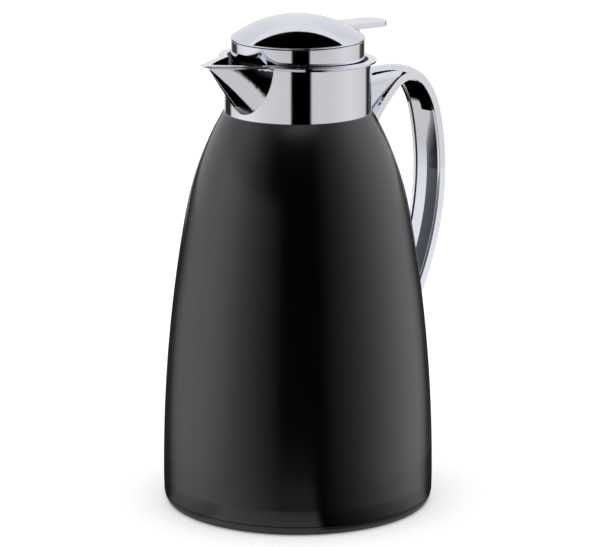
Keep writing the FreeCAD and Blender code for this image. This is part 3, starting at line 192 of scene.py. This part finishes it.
def addSheen(tree, shader, where, look):
    sheen = placeGroup(tree, handledSheen, where, {
        "Scale": look["sheenSize"], "Glossiest": look["glossiest"], "Dullest": look["dullest"]})
    tree.links.new(sheen.outputs["Roughness"], shader.inputs["Roughness"])


def addBump(tree, shader, height, look):
    bump = tree.nodes.new("ShaderNodeBump")
    bump.inputs["Distance"].default_value = look["grainDepth"]
    bump.inputs["Strength"].default_value = look["grainStrength"]
    tree.links.new(height, bump.inputs["Height"])
    tree.links.new(bump.outputs["Normal"], shader.inputs["Normal"])
    return bump


def addGrain(tree, shader, where, look):
    grain = placeGroup(tree, fineGrain, where, {
        "Coarse": look["grainSize"], "Fine": look["speckSize"], "Blend": look["grainBlend"]})
    return addBump(tree, shader, grain.outputs["Height"], look)


# satin black lacquer on the body
satinBlack = {
    "shade": (0.0006, 0.0006, 0.0007, 1),
    "otherShade": (0.0010, 0.0010, 0.0011, 1),
    "driftSize": 18,
    "glossiest": 0.16,
    "dullest": 0.20,
    "sheenSize": 22,
    "grainSize": 950,
    "speckSize": 5200,
    "grainBlend": 0.35,
    "grainDepth": 0.00002,
    "grainStrength": 0.5,
    "specular": 0.93,
    "specularTint": (0.92, 0.945, 1.0, 1),
}


def makeSatinBlack():
    finish, tree, shader, where = newFinish("satinBlackLacquer")
    addColour(tree, shader, where, satinBlack)
    addSheen(tree, shader, where, satinBlack)
    addGrain(tree, shader, where, satinBlack)
    shader.inputs["Specular IOR Level"].default_value = satinBlack["specular"]
    shader.inputs["Specular Tint"].default_value = satinBlack["specularTint"]
    return finish


# moulded black plastic of the base, plug and rings
mouldedBlack = {
    "shade": (0.0040, 0.0040, 0.0043, 1),
    "otherShade": (0.0070, 0.0070, 0.0073, 1),
    "driftSize": 35,
    "glossiest": 0.40,
    "dullest": 0.50,
    "sheenSize": 30,
    "grainSize": 2600,
    "speckSize": 7000,
    "grainBlend": 0.5,
    "grainDepth": 0.00004,
    "grainStrength": 0.6,
    "specular": 0.8,
}


def makeMouldedBlack():
    finish, tree, shader, where = newFinish("mouldedBlackPlastic")
    addColour(tree, shader, where, mouldedBlack)
    addSheen(tree, shader, where, mouldedBlack)
    addGrain(tree, shader, where, mouldedBlack)
    shader.inputs["Specular IOR Level"].default_value = mouldedBlack["specular"]
    return finish


# bright chrome over the moulded collar, lid and handle
brightChrome = {
    "shade": (0.79, 0.81, 0.90, 1),
    "otherShade": (0.83, 0.845, 0.92, 1),
    "driftSize": 30,
    "glossiest": 0.025,
    "dullest": 0.065,
    "sheenSize": 55,
    "grainSize": 42,
    "speckSize": 126,
    "grainBlend": 0.25,
    "grainDepth": 0.00003,
    "grainStrength": 0.5,
    "edgeRadius": 0.0004,
    "edgeSamples": 6,
}


def makeBrightChrome():
    finish, tree, shader, where = newFinish("brightChrome")
    addColour(tree, shader, where, brightChrome)
    addSheen(tree, shader, where, brightChrome)
    shader.inputs["Metallic"].default_value = 1.0
    # edges of plated mouldings are never sharp
    softEdge = tree.nodes.new("ShaderNodeBevel")
    softEdge.samples = brightChrome["edgeSamples"]
    softEdge.inputs["Radius"].default_value = brightChrome["edgeRadius"]
    bump = addGrain(tree, shader, where, brightChrome)
    tree.links.new(softEdge.outputs["Normal"], bump.inputs["Normal"])
    return finish


# turned steel of the screws, hinge pin and spring
turnedSteel = {
    "shade": (0.50, 0.50, 0.51, 1),
    "otherShade": (0.60, 0.60, 0.60, 1),
    "driftSize": 240,
    "glossiest": 0.22,
    "dullest": 0.36,
    "sheenSize": 300,
    "lineStretch": (1.0, 0.06, 1.0),
    "grainSize": 1500,
    "speckSize": 4500,
    "grainBlend": 0.4,
    "grainDepth": 0.00003,
    "grainStrength": 0.4,
}


def makeTurnedSteel():
    finish, tree, shader, where = newFinish("turnedSteel")
    addColour(tree, shader, where, turnedSteel)
    addSheen(tree, shader, where, turnedSteel)
    stretch = tree.nodes.new("ShaderNodeMapping")
    stretch.inputs["Scale"].default_value = turnedSteel["lineStretch"]
    tree.links.new(where, stretch.inputs["Vector"])
    addGrain(tree, shader, stretch.outputs["Vector"], turnedSteel)
    shader.inputs["Metallic"].default_value = 1.0
    return finish


# soft seals, cushion and foot pad
softRubber = {
    "shade": (0.018, 0.018, 0.018, 1),
    "otherShade": (0.030, 0.030, 0.029, 1),
    "driftSize": 60,
    "glossiest": 0.62,
    "dullest": 0.78,
    "sheenSize": 45,
    "grainSize": 1800,
    "speckSize": 7200,
    "grainBlend": 0.5,
    "grainDepth": 0.00006,
    "grainStrength": 0.7,
}


def makeSoftRubber():
    finish, tree, shader, where = newFinish("softRubber")
    addColour(tree, shader, where, softRubber)
    addSheen(tree, shader, where, softRubber)
    addGrain(tree, shader, where, softRubber)
    return finish


# silvered glass of the flask, a mirror under clear glass
silveredGlass = {
    "shade": (0.80, 0.82, 0.83, 1),
    "otherShade": (0.86, 0.87, 0.87, 1),
    "driftSize": 24,
    "glossiest": 0.02,
    "dullest": 0.05,
    "sheenSize": 26,
    "grainSize": 28,
    "speckSize": 56,
    "grainBlend": 0.3,
    "grainDepth": 0.0002,
    "grainStrength": 0.3,
    "coatRoughness": 0.02,
}


def makeSilveredGlass():
    finish, tree, shader, where = newFinish("silveredGlass")
    addColour(tree, shader, where, silveredGlass)
    addSheen(tree, shader, where, silveredGlass)
    addGrain(tree, shader, where, silveredGlass)
    shader.inputs["Metallic"].default_value = 1.0
    shader.inputs["Coat Weight"].default_value = 1.0
    shader.inputs["Coat Roughness"].default_value = silveredGlass["coatRoughness"]
    return finish


# open foam of the stopper's filling and the flask's spacers
openFoam = {
    "shade": (0.68, 0.66, 0.60, 1),
    "otherShade": (0.80, 0.78, 0.72, 1),
    "driftSize": 300,
    "cellSize": 900,
    "grainDepth": 0.0003,
    "grainStrength": 0.8,
    "roughness": 0.9,
}


def makeOpenFoam():
    finish, tree, shader, where = newFinish("openFoam")
    addColour(tree, shader, where, openFoam)
    cells = tree.nodes.new("ShaderNodeTexVoronoi")
    cells.inputs["Scale"].default_value = openFoam["cellSize"]
    tree.links.new(where, cells.inputs["Vector"])
    addBump(tree, shader, cells.outputs["Distance"], openFoam)
    shader.inputs["Roughness"].default_value = openFoam["roughness"]
    return finish


finishes = {
    "black_paint": makeSatinBlack(),
    "black_plastic": makeMouldedBlack(),
    "chrome": makeBrightChrome(),
    "steel": makeTurnedSteel(),
    "rubber": makeSoftRubber(),
    "silvered_glass": makeSilveredGlass(),
    "foam": makeOpenFoam(),
}


def dressNodes():
    for part in frame["record"]["subparts"]:
        piece = nodes[part["node"]]
        piece.data.materials.clear()
        piece.data.materials.append(finishes[part["material_slot"]])


dressNodes()
print("finishes on", len(nodes), "nodes")

# white floor that keeps the jug's shadow
studioFloor = {
    "size": 24,
    "shade": 0.9,
    "lift": 0.22,
}


def addFloor():
    bpy.ops.mesh.primitive_plane_add(size=studioFloor["size"])
    floor = bpy.context.object
    floor.name = "studioFloor"
    paper = bpy.data.materials.new("whitePaper")
    paper.use_nodes = True
    tree = paper.node_tree
    tree.nodes.remove(tree.nodes["Principled BSDF"])
    matte = tree.nodes.new("ShaderNodeBsdfDiffuse")
    matte.inputs["Color"].default_value = (studioFloor["shade"],) * 3 + (1,)
    # a little light of its own for the camera lifts the paper to white
    rays = tree.nodes.new("ShaderNodeLightPath")
    lift = tree.nodes.new("ShaderNodeMath")
    lift.operation = "MULTIPLY"
    lift.inputs[1].default_value = studioFloor["lift"]
    glow = tree.nodes.new("ShaderNodeEmission")
    both = tree.nodes.new("ShaderNodeAddShader")
    tree.links.new(rays.outputs["Is Camera Ray"], lift.inputs[0])
    tree.links.new(lift.outputs["Value"], glow.inputs["Strength"])
    tree.links.new(matte.outputs["BSDF"], both.inputs[0])
    tree.links.new(glow.outputs["Emission"], both.inputs[1])
    tree.links.new(both.outputs["Shader"], tree.nodes["Material Output"].inputs["Surface"])
    floor.data.materials.append(paper)
    bpy.ops.object.select_all(action="DESELECT")


addFloor()
print("floor laid")

# a tent of white and black card round the jug, seen only in its reflections;
# angles are turned from the camera's side, right of the picture positive, and each has a brightness
tentFront = 227.7
rightGlow = [(20, 0.0), (35, 0.11), (50, 0.24), (67, 0.46), (85, 0.76), (107, 0.98)]
lowLeft = [(-112, 0.82), (-89, 0.98), (-70, 0.82), (-54, 0.50), (-38, 0.28), (-23, 0.11), (-14, 0.0)]
highLeft = [(-112, 0.70), (-89, 0.72), (-70, 0.55), (-54, 0.27), (-38, 0.08), (-29, 0.0)]
whiteLeft = [(-180, 0.85), (-150, 0.75), (-128, 0.80)]
whiteRight = [(128, 0.90), (152, 0.75), (180, 0.85)]
darkLeft = [(-180, 0.03), (-150, 0.05), (-130, 0.55)]
darkRight = [(128, 0.85), (140, 0.50), (153, 0.06), (180, 0.03)]
floorGlow = darkLeft + lowLeft + rightGlow + darkRight
lowGlow = whiteLeft + lowLeft + rightGlow + whiteRight
highGlow = whiteLeft + highLeft + rightGlow + whiteRight

# spout, handle and collar look down on the floor more steeply than the body's side does,
# and see other patterns there
spoutView = {"from": 0.72, "to": 0.60}
collarView = {"from": 0.88, "to": 0.82}
softWhite = 0.66
footLeft = [(-180, 0.0), (-49, 0.0), (-41, softWhite)]
nearLeft = [(-180, 0.0), (-141, 0.0), (-135, softWhite)]
heelRight = [(9.5, softWhite), (12, 0.0), (180, 0.0)]
spoutRight = [(9.5, softWhite), (12, 0.0), (40, 0.0), (60, softWhite), (180, softWhite)]
collarGlow = [
    (-180, 0.80), (-157, 0.75), (-152, 0.03), (-130, 0.03), (-124, 0.75), (-100, 0.90), (-79, 0.90),
    (-55, 0.74), (-27, 0.69), (-12, 0.68), (-9, 0.0), (19, 0.0), (22, 0.66), (52, 0.69), (88, 0.80),
    (118, 0.70), (128, 0.68), (135, 0.03), (156, 0.03), (162, 0.75), (180, 0.80),
]
whiteTint = (1.0, 1.0, 1.0)
warmTint = (1.0, 0.98, 0.945)
tentCards = {
    "rings": [
        {"name": "heelRing", "inner": 0.0715, "outer": 0.13, "view": spoutView, "steepStops": footLeft + heelRight},
        {"name": "footRing", "inner": 0.13, "outer": 0.25, "view": spoutView, "steepStops": footLeft + spoutRight},
        {"name": "nearRing", "inner": 0.25, "outer": 0.84, "view": spoutView, "steepStops": nearLeft + spoutRight},
        {"name": "farRing", "inner": 0.84, "outer": 4.0, "view": collarView, "steepStops": collarGlow},
    ],
    "ringHeight": 0.0003,
    "bodyReach": 0.033,
    "walls": [
        {"name": "lowWall", "base": 0.0, "top": 1.6, "stops": lowGlow},
        {"name": "highWall", "base": 1.6, "top": 4.2, "stops": highGlow},
    ],
    "wallRadius": 4.0,
    "corners": 128,
    # a black strip overhead, across the camera's line of sight
    "ceiling": {"halfDepth": 3.97, "halfWidth": 4.2, "height": 6.6, "stops": [(-180, 0.0), (180, 0.0)]},
}


def addMath(tree, operation, first, second):
    step = tree.nodes.new("ShaderNodeMath")
    step.operation = operation
    for socket, value in zip(step.inputs, (first, second)):
        if isinstance(value, float):
            socket.default_value = value
        else:
            tree.links.new(value, socket)
    return step.outputs["Value"]


def widenNearby(tree, vector, angle):
    # the body's side sees the floor under smaller angles the nearer it is
    far = tree.nodes.new("ShaderNodeVectorMath")
    far.operation = "LENGTH"
    tree.links.new(vector, far.inputs[0])
    share = addMath(tree, "DIVIDE", tentCards["bodyReach"], far.outputs["Value"])
    pull = addMath(tree, "SUBTRACT", 1.0, share)
    aside = addMath(tree, "SUBTRACT", angle, 0.5)
    return addMath(tree, "ADD", addMath(tree, "DIVIDE", aside, pull), 0.5)


def addRamp(tree, stops, tint, place):
    ramp = tree.nodes.new("ShaderNodeValToRGB")
    for index, (angle, level) in enumerate(stops):
        position = 0.5 + angle / 360
        if index < 2:  # a new ramp has two stops
            stop = ramp.color_ramp.elements[index]
            stop.position = position
        else:
            stop = ramp.color_ramp.elements.new(position)
        stop.color = tuple(level * part for part in tint) + (1,)
    tree.links.new(place, ramp.inputs["Fac"])
    return ramp.outputs["Color"]


def newGlow(name):
    glowing = bpy.data.materials.new(name)
    glowing.use_nodes = True
    tree = glowing.node_tree
    tree.nodes.remove(tree.nodes["Principled BSDF"])
    where = tree.nodes.new("ShaderNodeTexCoord")
    turn = tree.nodes.new("ShaderNodeMapping")
    turn.inputs["Rotation"].default_value = (0, 0, -math.radians(tentFront))
    around = tree.nodes.new("ShaderNodeTexGradient")
    around.gradient_type = "RADIAL"
    tree.links.new(where.outputs["Object"], turn.inputs["Vector"])
    tree.links.new(turn.outputs["Vector"], around.inputs["Vector"])
    return glowing, tree, where.outputs["Object"], around.outputs["Fac"]


def endGlow(tree, colour):
    glow = tree.nodes.new("ShaderNodeEmission")
    tree.links.new(colour, glow.inputs["Color"])
    tree.links.new(glow.outputs["Emission"], tree.nodes["Material Output"].inputs["Surface"])


def makeWallGlow(name, stops):
    glowing, tree, where, angle = newGlow(name)
    endGlow(tree, addRamp(tree, stops, whiteTint, angle))
    return glowing


def makeRingGlow(ring):
    glowing, tree, where, angle = newGlow(ring["name"] + "Glow")
    flat = addRamp(tree, floorGlow, whiteTint, widenNearby(tree, where, angle))
    steep = addRamp(tree, ring["steepStops"], warmTint, angle)
    # how steeply the card is looked at
    view = tree.nodes.new("ShaderNodeLayerWeight")
    view.inputs["Blend"].default_value = 0.5
    steepness = tree.nodes.new("ShaderNodeMapRange")
    steepness.inputs["From Min"].default_value = ring["view"]["from"]
    steepness.inputs["From Max"].default_value = ring["view"]["to"]
    factor, first, second, result = addColourMix(tree)
    tree.links.new(view.outputs["Facing"], steepness.inputs["Value"])
    tree.links.new(steepness.outputs["Result"], factor)
    tree.links.new(flat, first)
    tree.links.new(steep, second)
    endGlow(tree, result)
    return glowing


def finishCard(card, name, glowing):
    card.name = name
    card.data.materials.append(glowing)
    # seen only in reflections
    card.visible_camera = False
    card.visible_diffuse = False
    card.visible_transmission = False
    card.visible_volume_scatter = False
    card.visible_shadow = False
    bpy.ops.object.select_all(action="DESELECT")


def addRingCard(ring):
    bpy.ops.mesh.primitive_circle_add(
        vertices=tentCards["corners"], radius=ring["inner"], location=(0, 0, tentCards["ringHeight"])
    )
    bpy.ops.object.mode_set(mode="EDIT")
    bpy.ops.mesh.select_all(action="SELECT")
    bpy.ops.mesh.extrude_edges_move()
    grow = ring["outer"] / ring["inner"]
    bpy.ops.transform.resize(value=(grow, grow, 1))
    bpy.ops.object.mode_set(mode="OBJECT")
    finishCard(bpy.context.object, ring["name"], makeRingGlow(ring))


def addWallCard(wall):
    bpy.ops.mesh.primitive_cylinder_add(
        vertices=tentCards["corners"], radius=tentCards["wallRadius"], depth=wall["top"] - wall["base"],
        end_fill_type="NOTHING", location=(0, 0, (wall["top"] + wall["base"]) / 2),
    )
    finishCard(bpy.context.object, wall["name"], makeWallGlow(wall["name"] + "Glow", wall["stops"]))


def addCeilingCard(ceiling):
    bpy.ops.mesh.primitive_plane_add(
        size=2, location=(0, 0, ceiling["height"]), rotation=(0, 0, math.radians(tentFront))
    )
    bpy.ops.transform.resize(value=(ceiling["halfDepth"], ceiling["halfWidth"], 1), orient_type="LOCAL")
    finishCard(bpy.context.object, "tentCeiling", makeWallGlow("ceilingGlow", ceiling["stops"]))


def addTent():
    for ring in tentCards["rings"]:
        addRingCard(ring)
    for wall in tentCards["walls"]:
        addWallCard(wall)
    addCeilingCard(tentCards["ceiling"])


addTent()
print("tent of cards up")

# one softbox overhead and a white world, a little darker where it isn't looked at
studioLight = {
    "world": 0.85,
    "seenWorld": 1.0,
    "height": 2.2,
    "size": 2.4,
    "power": 18,
}


def addLight():
    world = bpy.data.worlds.new("whiteStudio")
    scene.world = world
    world.use_nodes = True
    tree = world.node_tree
    sky = tree.nodes["Background"]
    sky.inputs["Color"].default_value = (1, 1, 1, 1)
    rays = tree.nodes.new("ShaderNodeLightPath")
    seen = addMath(tree, "MAXIMUM", rays.outputs["Is Camera Ray"], rays.outputs["Is Transmission Ray"])
    level = tree.nodes.new("ShaderNodeMapRange")
    level.inputs["To Min"].default_value = studioLight["world"]
    level.inputs["To Max"].default_value = studioLight["seenWorld"]
    tree.links.new(seen, level.inputs["Value"])
    tree.links.new(level.outputs["Result"], sky.inputs["Strength"])
    bpy.ops.object.light_add(type="AREA", location=(0, 0, studioLight["height"]))
    softbox = bpy.context.object
    softbox.name = "topSoftbox"
    softbox.data.size = studioLight["size"]
    softbox.data.energy = studioLight["power"]
    softbox.visible_glossy = False
    bpy.ops.object.select_all(action="DESELECT")


addLight()
print("light set")
